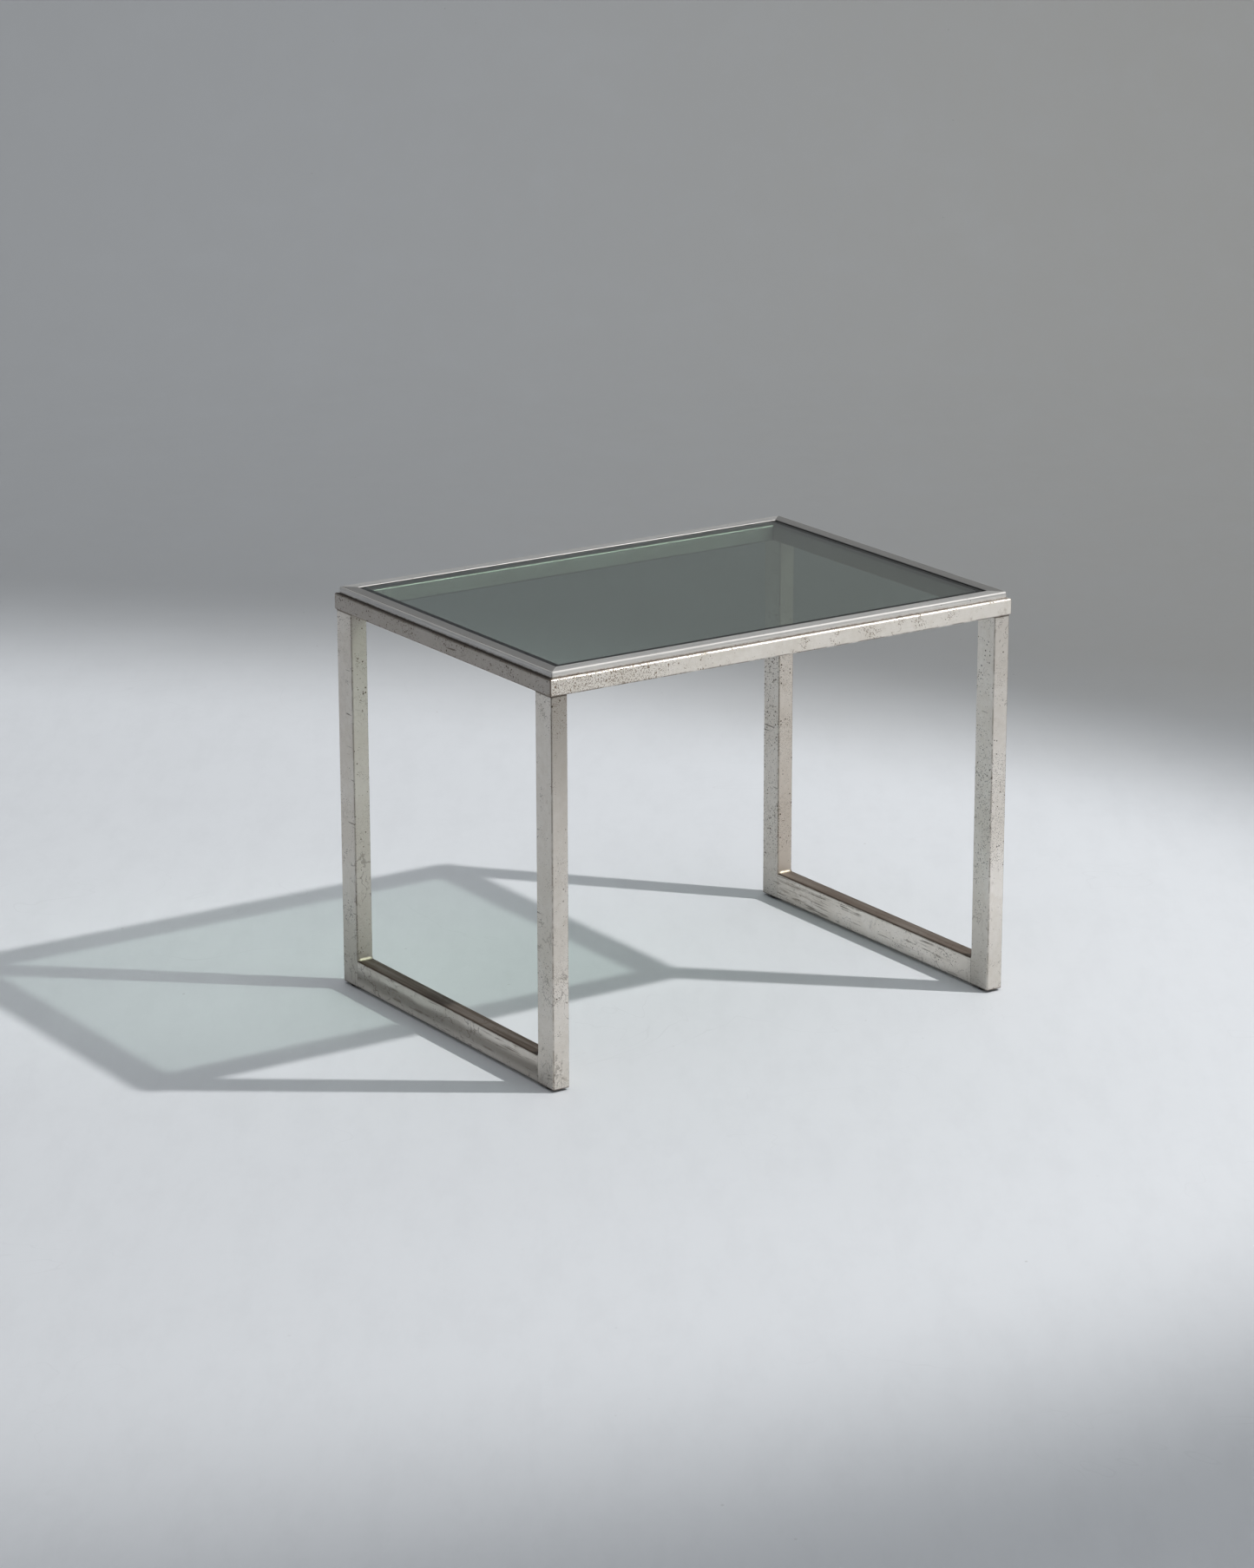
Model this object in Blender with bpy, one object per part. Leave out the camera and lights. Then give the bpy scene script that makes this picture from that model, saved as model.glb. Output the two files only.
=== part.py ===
"""Glass-topped side table: a welded frame of rectangular steel tube with a loose pane of glass.

Metres, +Z up, origin on the floor under the middle of the table. X runs along the long sides.
The two leg frames stand at -X and +X, each with a stretcher on the floor line. The apron is a
mitred ring of tube laid flat, and a mitred ring of solid bar on it makes the rebate for the glass.
"""

import math

import bpy
import bmesh
from mathutils import Vector

# Overall size
TABLE_X = 0.582            # apron, outside to outside
TABLE_Y = 0.425
TABLE_Z = 0.446            # floor to the top of the trim

# Tube sections
LEG_X = 0.020              # leg tube, measured along X
LEG_Y = 0.030              # leg tube, measured along Y
STRETCHER_Z = 0.030        # stretcher tube is the same section, on edge
RAIL_WIDTH = 0.030         # apron tube laid flat
RAIL_HEIGHT = 0.018
TUBE_WALL = 0.0015
TUBE_ARRIS = 0.002         # rounded long edges of the tubes
APRON_OVERHANG = 0.0015    # apron past the outer faces of the legs

# Trim bars and glass
TRIM_WIDTH = 0.015
TRIM_HEIGHT = 0.0069
TRIM_SETBACK = 0.004       # from the apron's outer face
TRIM_ARRIS = 0.001
GLASS_THICK = 0.006
GLASS_CLEARANCE = 0.001    # all round, inside the trim
GLASS_ARRIS = 0.0008

# Feet and closures
FOOT_DIAMETER = 0.016
FOOT_HEIGHT = 0.0025
FOOT_ARRIS = 0.0004
END_PLATE_THICK = 0.003
FILLET_LEG = 0.003         # weld fillet in the corner of stretcher and leg

JOINT_GAP = 0.0003         # between solids that touch on the real table

# Levels, from the floor up
LEG_BOTTOM = FOOT_HEIGHT + JOINT_GAP
TRIM_BOTTOM = TABLE_Z - TRIM_HEIGHT
RAIL_TOP = TRIM_BOTTOM - JOINT_GAP
RAIL_BOTTOM = RAIL_TOP - RAIL_HEIGHT
LEG_TOP = RAIL_BOTTOM - JOINT_GAP
STRETCHER_TOP = LEG_BOTTOM + STRETCHER_Z

# Plan positions of the legs' centres
LEG_CENTRE_X = TABLE_X / 2 - APRON_OVERHANG - LEG_X / 2
LEG_CENTRE_Y = TABLE_Y / 2 - APRON_OVERHANG - LEG_Y / 2

SIDES_X = {"left": -1, "right": 1}
SIDES_Y = {"front": -1, "rear": 1}


def clear_scene():
    for obj in list(bpy.data.objects):
        bpy.data.objects.remove(obj, do_unlink=True)


def new_collection(name):
    collection = bpy.data.collections.new(name)
    bpy.context.scene.collection.children.link(collection)
    return collection


def material(name, colour, roughness, metallic, transmission=0.0, ior=1.5):
    made = bpy.data.materials.new(name)
    made.use_nodes = True
    shader = made.node_tree.nodes["Principled BSDF"]
    shader.inputs["Base Color"].default_value = (*colour, 1.0)
    shader.inputs["Roughness"].default_value = roughness
    shader.inputs["Metallic"].default_value = metallic
    shader.inputs["Transmission Weight"].default_value = transmission
    shader.inputs["IOR"].default_value = ior
    made.diffuse_color = (*colour, 1.0)
    return made


def add_object(name, bm, made_of, collection, parent=None):
    mesh = bpy.data.meshes.new(name)
    bmesh.ops.recalc_face_normals(bm, faces=bm.faces)
    bm.to_mesh(mesh)
    bm.free()
    obj = bpy.data.objects.new(name, mesh)
    collection.objects.link(obj)
    if made_of:
        mesh.materials.append(made_of)
    obj.parent = parent
    return obj


def box_mesh(size):
    """A bmesh box of this size about the origin."""
    bm = bmesh.new()
    bmesh.ops.create_cube(bm, size=1.0)
    bmesh.ops.scale(bm, vec=Vector(size), verts=bm.verts)
    return bm


def long_edges(bm, axis):
    """The edges that run along an axis, also on a box whose ends have been mitred."""
    found = []
    for edge in bm.edges:
        run = edge.verts[1].co - edge.verts[0].co
        if abs(run[axis]) > 0.99 * run.length:
            found.append(edge)
    return found


def round_edges(bm, edges, radius, segments):
    bmesh.ops.bevel(
        bm, geom=edges, offset=radius, segments=segments, profile=0.5,
        affect="EDGES", clamp_overlap=True,
    )


def mitre(bm, inner_side, depth):
    """Cuts both ends of a bar along X at 45 degrees, shorter on its inner (+Y or -Y) side."""
    for vert in bm.verts:
        if vert.co.y * inner_side > 0:
            vert.co.x -= math.copysign(depth, vert.co.x)


def hollow(obj, size, cutters, axis):
    """Runs a rectangular bore of this section right through a bar."""
    length = [d for d in size]
    length[axis] *= 1.2
    cutter = add_object(obj.name + "_bore", box_mesh(length), None, cutters)
    cutter.parent = obj
    cutter.hide_render = True
    cutter.display_type = "WIRE"
    cut = obj.modifiers.new("bore", "BOOLEAN")
    cut.operation = "DIFFERENCE"
    cut.solver = "EXACT"
    cut.object = cutter


def smooth(obj):
    obj.data.shade_smooth()
    obj.data.set_sharp_from_angle(angle=math.radians(40))


def make_leg(name, sx, sy, steel, parts, cutters, parent):
    height = LEG_TOP - LEG_BOTTOM
    bm = box_mesh((LEG_X, LEG_Y, height))
    round_edges(bm, long_edges(bm, 2), TUBE_ARRIS, 3)
    leg = add_object(name, bm, steel, parts, parent)
    leg.location = (sx * LEG_CENTRE_X, sy * LEG_CENTRE_Y, LEG_BOTTOM + height / 2)
    hollow(leg, (LEG_X - 2 * TUBE_WALL, LEG_Y - 2 * TUBE_WALL, height), cutters, 2)
    smooth(leg)


def make_stretcher(name, sx, steel, parts, cutters, parent):
    length = 2 * LEG_CENTRE_Y - LEG_Y - 2 * JOINT_GAP
    bm = box_mesh((LEG_X, length, STRETCHER_Z))
    round_edges(bm, long_edges(bm, 1), TUBE_ARRIS, 3)
    bar = add_object(name, bm, steel, parts, parent)
    bar.location = (sx * LEG_CENTRE_X, 0, LEG_BOTTOM + STRETCHER_Z / 2)
    hollow(bar, (LEG_X - 2 * TUBE_WALL, length, STRETCHER_Z - 2 * TUBE_WALL), cutters, 1)
    smooth(bar)


def make_ring_bar(name, side, along_x, ring_size, section, level, arris, steel, parts, parent):
    """One mitred bar of a rectangular ring. ring_size is the ring's outside, section (width, height)."""
    width, height = section
    run, across = (ring_size[0], ring_size[1]) if along_x else (ring_size[1], ring_size[0])
    run -= 2 * (JOINT_GAP / 2) * math.sqrt(2)
    bm = box_mesh((run, width, height))
    mitre(bm, 1, width)
    round_edges(bm, long_edges(bm, 0), arris, 3)
    bar = add_object(name, bm, steel, parts, parent)
    # Local +Y points to the middle of the ring.
    offset = across / 2 - width / 2
    if along_x:
        bar.location = (0, side * offset, level + height / 2)
        bar.rotation_euler = (0, 0, 0 if side < 0 else math.pi)
    else:
        bar.location = (side * offset, 0, level + height / 2)
        bar.rotation_euler = (0, 0, -math.pi / 2 if side < 0 else math.pi / 2)
    smooth(bar)
    return bar


def make_rail(name, side, along_x, steel, parts, cutters, parent):
    rail = make_ring_bar(
        name, side, along_x, (TABLE_X, TABLE_Y), (RAIL_WIDTH, RAIL_HEIGHT), RAIL_BOTTOM,
        TUBE_ARRIS, steel, parts, parent,
    )
    run = TABLE_X if along_x else TABLE_Y
    bore = (run, RAIL_WIDTH - 2 * TUBE_WALL, RAIL_HEIGHT - 2 * TUBE_WALL)
    hollow(rail, bore, cutters, 0)


def make_trim(name, side, along_x, steel, parts, parent):
    ring = (TABLE_X - 2 * TRIM_SETBACK, TABLE_Y - 2 * TRIM_SETBACK)
    make_ring_bar(
        name, side, along_x, ring, (TRIM_WIDTH, TRIM_HEIGHT), TRIM_BOTTOM,
        TRIM_ARRIS, steel, parts, parent,
    )


def make_fillet(name, sx, sy, steel, parts, parent):
    """A concave fillet, drawn as an outline and extruded across the tube's flat."""
    curve = bpy.data.curves.new(name, "CURVE")
    curve.dimensions = "2D"
    curve.fill_mode = "BOTH"
    curve.extrude = LEG_X / 2 - TUBE_ARRIS
    steps = 6
    outline = [(0.0, 0.0)]
    for i in range(steps + 1):
        turn = math.pi / 2 * i / steps
        outline.append((FILLET_LEG * (1 - math.sin(turn)), FILLET_LEG * (1 - math.cos(turn))))
    spline = curve.splines.new("POLY")
    spline.points.add(len(outline) - 1)
    for point, (u, v) in zip(spline.points, outline):
        point.co = (u, v, 0, 1)
    spline.use_cyclic_u = True
    curve.materials.append(steel)
    fillet = bpy.data.objects.new(name, curve)
    parts.objects.link(fillet)
    fillet.parent = parent
    # The outline's u runs from the leg's inner face to the middle of the stretcher.
    face = LEG_CENTRE_Y - LEG_Y / 2 - JOINT_GAP
    fillet.location = (sx * LEG_CENTRE_X, sy * face, STRETCHER_TOP + JOINT_GAP)
    fillet.rotation_euler = (math.pi / 2, 0, -sy * math.pi / 2)


def make_end_plate(name, sx, sy, steel, parts, parent):
    bore_x, bore_y = LEG_X - 2 * TUBE_WALL, LEG_Y - 2 * TUBE_WALL
    plate = add_object(
        name, box_mesh((bore_x - 2 * JOINT_GAP, bore_y - 2 * JOINT_GAP, END_PLATE_THICK)),
        steel, parts, parent,
    )
    plate.location = (sx * LEG_CENTRE_X, sy * LEG_CENTRE_Y, LEG_BOTTOM + END_PLATE_THICK / 2)


def make_foot(name, sx, sy, rubber, parts, parent):
    bm = bmesh.new()
    bmesh.ops.create_cone(
        bm, cap_ends=True, segments=40, radius1=FOOT_DIAMETER / 2, radius2=FOOT_DIAMETER / 2,
        depth=FOOT_HEIGHT,
    )
    rims = [edge for edge in bm.edges if abs(edge.verts[0].co.z - edge.verts[1].co.z) < 1e-6]
    round_edges(bm, rims, FOOT_ARRIS, 1)
    foot = add_object(name, bm, rubber, parts, parent)
    foot.location = (sx * LEG_CENTRE_X, sy * LEG_CENTRE_Y, FOOT_HEIGHT / 2)
    smooth(foot)


def make_glass(name, glass, parts, parent):
    rebate = 2 * (TRIM_SETBACK + TRIM_WIDTH + GLASS_CLEARANCE)
    bm = box_mesh((TABLE_X - rebate, TABLE_Y - rebate, GLASS_THICK))
    round_edges(bm, list(bm.edges), GLASS_ARRIS, 1)
    pane = add_object(name, bm, glass, parts, parent)
    pane.location = (0, 0, GLASS_THICK / 2)


def main():
    clear_scene()
    parts = new_collection("side_table")
    cutters = new_collection("cutters")

    plated = material("aged_nickel_plate", (0.46, 0.44, 0.41), 0.34, 1.0)
    bright = material("brushed_trim_steel", (0.60, 0.60, 0.58), 0.28, 1.0)
    plate = material("bare_end_plate", (0.25, 0.24, 0.22), 0.55, 1.0)
    rubber = material("black_pad", (0.02, 0.02, 0.02), 0.8, 0.0)
    glass = material("grey_green_glass", (0.62, 0.72, 0.68), 0.02, 0.0, 1.0, 1.52)

    frame = bpy.data.objects.new("frame_root", None)
    parts.objects.link(frame)
    lift = bpy.data.objects.new("glass_lift", None)
    lift.parent = frame
    lift.location = (0, 0, TRIM_BOTTOM)
    parts.objects.link(lift)

    for y_name, sy in SIDES_Y.items():
        for x_name, sx in SIDES_X.items():
            corner = y_name + "_" + x_name
            make_leg("leg_" + corner, sx, sy, plated, parts, cutters, frame)
            make_end_plate("end_plate_" + corner, sx, sy, plate, parts, frame)
            make_foot("foot_" + corner, sx, sy, rubber, parts, frame)
            make_fillet("weld_" + corner, sx, sy, plated, parts, frame)

    for x_name, sx in SIDES_X.items():
        make_stretcher("stretcher_" + x_name, sx, plated, parts, cutters, frame)
        make_rail("rail_" + x_name, sx, False, plated, parts, cutters, frame)
        make_trim("trim_" + x_name, sx, False, bright, parts, frame)
    for y_name, sy in SIDES_Y.items():
        make_rail("rail_" + y_name, sy, True, plated, parts, cutters, frame)
        make_trim("trim_" + y_name, sy, True, bright, parts, frame)

    make_glass("glass_pane", glass, parts, lift)


main()
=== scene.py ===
import math
from collections import namedtuple

import bmesh
import bpy
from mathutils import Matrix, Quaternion, Vector


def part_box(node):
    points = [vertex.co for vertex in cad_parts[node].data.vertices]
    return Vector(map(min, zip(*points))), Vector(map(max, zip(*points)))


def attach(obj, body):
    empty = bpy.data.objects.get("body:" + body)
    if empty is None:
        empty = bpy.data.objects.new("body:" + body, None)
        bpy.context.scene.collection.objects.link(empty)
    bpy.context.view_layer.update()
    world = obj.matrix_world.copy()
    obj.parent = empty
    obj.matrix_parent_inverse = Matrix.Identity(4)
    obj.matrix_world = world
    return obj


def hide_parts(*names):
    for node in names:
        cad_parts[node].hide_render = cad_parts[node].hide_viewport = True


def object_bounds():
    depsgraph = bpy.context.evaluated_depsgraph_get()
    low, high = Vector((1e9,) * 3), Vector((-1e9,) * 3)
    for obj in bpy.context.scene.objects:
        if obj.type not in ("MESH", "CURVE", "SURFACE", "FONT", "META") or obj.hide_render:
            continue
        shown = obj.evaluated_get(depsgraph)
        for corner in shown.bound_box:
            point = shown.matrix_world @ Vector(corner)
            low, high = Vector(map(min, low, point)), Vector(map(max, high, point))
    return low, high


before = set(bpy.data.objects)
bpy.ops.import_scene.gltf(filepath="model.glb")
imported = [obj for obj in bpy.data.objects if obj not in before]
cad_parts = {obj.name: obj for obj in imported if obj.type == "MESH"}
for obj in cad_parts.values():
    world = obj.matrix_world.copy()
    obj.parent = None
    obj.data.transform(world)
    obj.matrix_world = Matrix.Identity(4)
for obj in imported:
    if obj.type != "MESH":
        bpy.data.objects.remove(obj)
cad_low, cad_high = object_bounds()

MM = 0.001
ZERO = (0.0, 0.0, 0.0)
QUARTER = math.pi / 2
EDGE_LAYER = "edge_end"


def add_to_scene(name, data):
    obj = bpy.data.objects.new(name, data)
    bpy.context.scene.collection.objects.link(obj)
    return obj


# ------------------------------------------------------------------ camera
# Seen from the front left, a little above the table. The long lens keeps the verticals nearly parallel.
CAM_PLACE = (-2.8299, -4.1630, 1.7350)
CAM_AZIMUTH = math.radians(-33.608)
CAM_ELEVATION = math.radians(17.324)
CAM_ROLL = math.radians(-0.13)
CAM_LENS, CAM_SENSOR = 112.21, 36.0
CAM_SHIFT = (0.0025, 0.0368)


def make_camera():
    data = bpy.data.cameras.new("camera")
    data.lens = CAM_LENS
    data.sensor_width = CAM_SENSOR
    data.shift_x, data.shift_y = CAM_SHIFT
    data.clip_start, data.clip_end = 0.05, 60
    cam = add_to_scene("camera", data)
    back = Vector((
        math.sin(CAM_AZIMUTH) * math.cos(CAM_ELEVATION),
        -math.cos(CAM_AZIMUTH) * math.cos(CAM_ELEVATION),
        math.sin(CAM_ELEVATION),
    ))
    cam.rotation_mode = "QUATERNION"
    cam.rotation_quaternion = (-back).to_track_quat("-Z", "Y") @ Quaternion((0, 0, 1), CAM_ROLL)
    cam.location = CAM_PLACE
    bpy.context.scene.camera = cam


make_camera()

# ------------------------------------------------------------------ sizes
# Places and outer sizes come from the frame, and what the frame doesn't tell is given here.
RAIL_LOW, RAIL_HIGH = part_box("rail_front")[0].z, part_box("rail_front")[1].z
TRIM_LOW, TRIM_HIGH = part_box("trim_front")[0].z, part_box("trim_front")[1].z
OUT_X, OUT_Y = cad_high.x, cad_high.y
TRIM_OUT_X, TRIM_OUT_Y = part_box("trim_right")[1].x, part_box("trim_rear")[1].y
TUBE_WALL = 1.5 * MM
TUBE_ARRIS = 2.0 * MM
BORE_ARRIS = 0.5 * MM
RING_CORNER = 2.0 * MM                                  # in plan, of the rails and of the trim
RAIL_RADII = (TUBE_ARRIS,) * 4
TRIM_RADII = (0.4 * MM, 0.3 * MM, 0.6 * MM, 1.9 * MM)   # outer bottom, inner bottom, inner top, outer top
TRIM_LIFT = 0.12 * MM
TRIM_MITRE_GAP = 0.04 * MM
WELD_LEG = 3.0 * MM
WELD_SINK = 0.25 * MM
PANE_CORNER = 2.0 * MM
PANE_ARRIS = 0.8 * MM
# width of the band of painted shade along the pane's edges
SHADE_BORDER = 6.5 * MM
SMOOTH_BELOW = math.radians(38)
FAR = 4.0 * MM                                          # far enough from an arris to show no wear
BEAD_WEAR = 2.0 * MM                                    # the same distance, all over a weld
END_FACE = (0, 0, 3.0 * MM, 0.0)                        # both surface layers' values on the end of a bar


# ------------------------------------------------------------------ node helpers
class Nodes:
    """A short way to write the node tree of a new material. here is the place in the table's own frame,
    and facing the way that the surface faces."""

    def __init__(self, name):
        self.material = bpy.data.materials.new(name)
        self.material.use_nodes = True
        self.tree = self.material.node_tree
        self.tree.nodes.clear()
        self.out = self.add("ShaderNodeOutputMaterial")
        where = self.add("ShaderNodeTexCoord")
        self.here, self.facing = where.outputs["Object"], where.outputs["Normal"]

    def add(self, kind, **settings):
        node = self.tree.nodes.new(kind)
        for name, value in settings.items():
            setattr(node, name, value)
        return node

    def put(self, socket, value):
        if isinstance(value, bpy.types.NodeSocket):
            self.tree.links.new(value, socket)
        else:
            socket.default_value = value

    def put_colour(self, socket, value):
        self.put(socket, value if isinstance(value, bpy.types.NodeSocket) else (*value, 1.0))

    def math(self, operation, a, b=0.0):
        node = self.add("ShaderNodeMath", operation=operation)
        self.put(node.inputs[0], a)
        self.put(node.inputs[1], b)
        return node.outputs[0]

    def plus(self, a, b):
        return self.math("ADD", a, b)

    def minus(self, a, b):
        return self.math("SUBTRACT", a, b)

    def times(self, first, *more):
        for value in more:
            first = self.math("MULTIPLY", first, value)
        return first

    def most(self, first, *more):
        for value in more:
            first = self.math("MAXIMUM", first, value)
        return first

    def absolute(self, a):
        return self.math("ABSOLUTE", a)

    def ramp(self, value, low, high, to_low=0.0, to_high=1.0):
        """A smooth step from to_low at low to to_high at high."""
        node = self.add("ShaderNodeMapRange", interpolation_type="SMOOTHSTEP", clamp=True)
        for i, v in enumerate((value, low, high, to_low, to_high)):
            self.put(node.inputs[i], v)
        return node.outputs[0]

    def line(self, value, centre, inner, outer):
        """1 where value is within inner of centre, and 0 from outer on."""
        return self.ramp(self.absolute(self.minus(value, centre)), inner, outer, 1.0, 0.0)

    def mix(self, factor, a, b):
        """From colour a to colour b."""
        node = self.add("ShaderNodeMix", data_type="RGBA", clamp_factor=True)
        self.put(node.inputs[0], factor)
        self.put_colour(node.inputs[6], a)
        self.put_colour(node.inputs[7], b)
        return node.outputs[2]

    def blend(self, factor, a, b):
        """From number a to number b."""
        node = self.add("ShaderNodeMix", data_type="FLOAT", clamp_factor=True)
        self.put(node.inputs[0], factor)
        self.put(node.inputs[2], a)
        self.put(node.inputs[3], b)
        return node.outputs[0]

    def vector_math(self, operation, a, b):
        node = self.add("ShaderNodeVectorMath", operation=operation)
        self.put(node.inputs[0], a)
        self.put(node.inputs["Scale" if operation == "SCALE" else 1], b)
        return node.outputs["Value" if operation == "DOT_PRODUCT" else "Vector"]

    def parts(self, vector):
        node = self.add("ShaderNodeSeparateXYZ")
        self.put(node.inputs[0], vector)
        return node.outputs

    def channels(self, colour):
        node = self.add("ShaderNodeSeparateColor")
        self.put(node.inputs[0], colour)
        return node.outputs

    def stretch(self, scale, shift=ZERO, turn=ZERO, vector=None):
        node = self.add("ShaderNodeMapping")
        self.put(node.inputs["Vector"], vector or self.here)
        node.inputs["Scale"].default_value = scale
        node.inputs["Location"].default_value = shift
        node.inputs["Rotation"].default_value = turn
        return node.outputs[0]

    def noise(self, scale, detail=2.0, rough=0.5, warp=0.0, vector=None, output="Fac"):
        node = self.add("ShaderNodeTexNoise")
        self.put(node.inputs["Vector"], vector or self.here)
        node.inputs["Scale"].default_value = scale
        node.inputs["Detail"].default_value = detail
        node.inputs["Roughness"].default_value = rough
        node.inputs["Distortion"].default_value = warp
        return node.outputs[output]

    def grain(self, run, across, along, detail, rough, shift=ZERO):
        """Noise drawn out along the axis run. across and along are its scales."""
        scale = [across] * 3
        scale[run] = along
        return self.noise(1.0, detail, rough, vector=self.stretch(scale, shift))

    def cells(self, scale, feature="F1", vector=None):
        node = self.add("ShaderNodeTexVoronoi", feature=feature)
        self.put(node.inputs["Vector"], vector or self.here)
        node.inputs["Scale"].default_value = scale
        return node.outputs

    def dots(self, scale, channel, rarity, radius, blur, full, thickness=1.0):
        """Round dots, one to a cell. A higher rarity leaves fewer large ones, and thickness scales them all.
        They fade in from the size blur to the size full, and smaller ones vanish."""
        cell = self.cells(scale)
        chance = self.channels(cell["Color"])[channel]
        size = self.times(self.math("POWER", chance, rarity), radius, thickness)
        dot = self.ramp(self.minus(cell["Distance"], size), -blur, blur, 1.0, 0.0)
        return self.times(dot, self.ramp(size, blur, full))

    def bump(self, height, distance, strength=1.0, normal=None):
        node = self.add("ShaderNodeBump")
        node.inputs["Strength"].default_value = strength
        node.inputs["Distance"].default_value = distance
        self.put(node.inputs["Height"], height)
        if normal:
            self.put(node.inputs["Normal"], normal)
        return node.outputs[0]

    def edge_and_end(self):
        """How far it is to the nearest arris, and to the nearest end of the bar, as skin() lays it down."""
        away = self.parts(self.add("ShaderNodeUVMap", uv_map=EDGE_LAYER).outputs[0])
        return away[0], away[1]

    def principled(self, colour, roughness, normal=None, metallic=0.0):
        """Ends the tree in this surface, and gives it back for further settings."""
        shader = self.add("ShaderNodeBsdfPrincipled")
        self.put_colour(shader.inputs["Base Color"], colour)
        self.put(shader.inputs["Roughness"], roughness)
        self.put(shader.inputs["Metallic"], metallic)
        if normal:
            self.put(shader.inputs["Normal"], normal)
        self.put(self.out.inputs["Surface"], shader.outputs[0])
        return shader


def shade(colour, factor):
    return tuple(c * factor for c in colour)


# ------------------------------------------------------------------ plated tube
NICKEL = (0.735, 0.695, 0.645)
BLOOM = (0.300, 0.235, 0.175)
ARRIS_BROWN = (0.205, 0.150, 0.105)
PIT = (0.085, 0.058, 0.040)
# near black, for the painted shade on the rails
SHADE_DARK = (0.050, 0.042, 0.036)
# brown, for the line along a rail's foot and for the painted shade in the gap under the trim
BROWN = (0.150, 0.108, 0.078)
METALLIC = 0.82


def mottled(n, tint, run):
    """The plate's colour, with the fields that its gloss and relief share: broad clouds, fine clouds and
    the fine polishing lines along the tube."""
    fine = n.noise(150, 4.0, 0.65)
    cloud = n.plus(n.times(n.noise(16, 3.0, 0.55), 0.6), n.times(fine, 0.4))
    light = tuple(min(1.0, c * 1.03) for c in tint)
    deep = tuple(c * k for c, k in zip(tint, (0.925, 0.91, 0.885)))
    colour = n.mix(n.ramp(cloud, 0.38, 0.62), deep, light)
    grain = n.grain(run, 900, 14, 3.0, 0.6)
    colour = n.mix(n.times(n.ramp(grain, 0.35, 0.7), 0.22), colour, deep)
    return colour, cloud, fine, grain


def pitted(n, pits, dense, only_dense):
    """Pits in two sizes, thicker in drifts and wherever dense says so, or only there for the larger ones."""
    drift = n.ramp(n.noise(15, 3.0, 0.6), 0.42, 0.64, 0.12, 1.0)
    fine_drift = n.ramp(n.noise(38, 4.0, 0.65), 0.46, 0.66)
    if dense:
        crowd = dense(n)
        drift = crowd if only_dense else n.most(drift, crowd)
        fine_drift = n.most(fine_drift, crowd)
    large = n.dots(330, 0, 5.0, 0.34 * pits, 0.04, 0.10, drift)
    small = n.dots(760, 1, 2.0, 0.46 * pits, 0.06, 0.14, fine_drift)
    return n.most(large, small)


def scratched(n):
    """Wandering tide lines and slanted scratches, both broken up."""
    tide = n.times(
        n.line(n.noise(34, 2.0, 0.5, 0.9), 0.5, 0.0012, 0.0050),
        n.ramp(n.noise(19, 2.0, 0.5), 0.52, 0.60),
        n.ramp(n.noise(420, 2.0, 0.5), 0.40, 0.54),
    )
    slanted = n.stretch((420, 22, 420), turn=(0.5, 0.7, 0.9))
    scratch = n.times(
        n.ramp(n.noise(1.0, 1.0, 0.4, vector=slanted), 0.715, 0.755),
        n.ramp(n.noise(23, 1.0, 0.5), 0.48, 0.58),
    )
    return n.most(tide, n.times(scratch, 0.75))


def cracked(n, run):
    """Branching cracks in patches. On a leg they gather near the foot."""
    wobble = n.vector_math("SCALE", n.noise(95, 4.0, output="Color"), 0.016)
    scale = [84.0] * 3
    scale[run] = 40.0
    web = n.cells(1.0, "DISTANCE_TO_EDGE", n.stretch(scale, vector=n.vector_math("ADD", n.here, wobble)))
    crack = n.times(
        n.ramp(web["Distance"], 0.012, 0.060, 1.0, 0.0),
        n.ramp(n.noise(130, 2.0, 0.5), 0.42, 0.54),
        n.ramp(n.noise(30, 3.0, 0.6), 0.50, 0.59),
    )
    if run == 2:
        crack = n.times(crack, n.ramp(n.parts(n.here)[2], 0.10, 0.24, 1.0, 0.15))
    return crack


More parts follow.
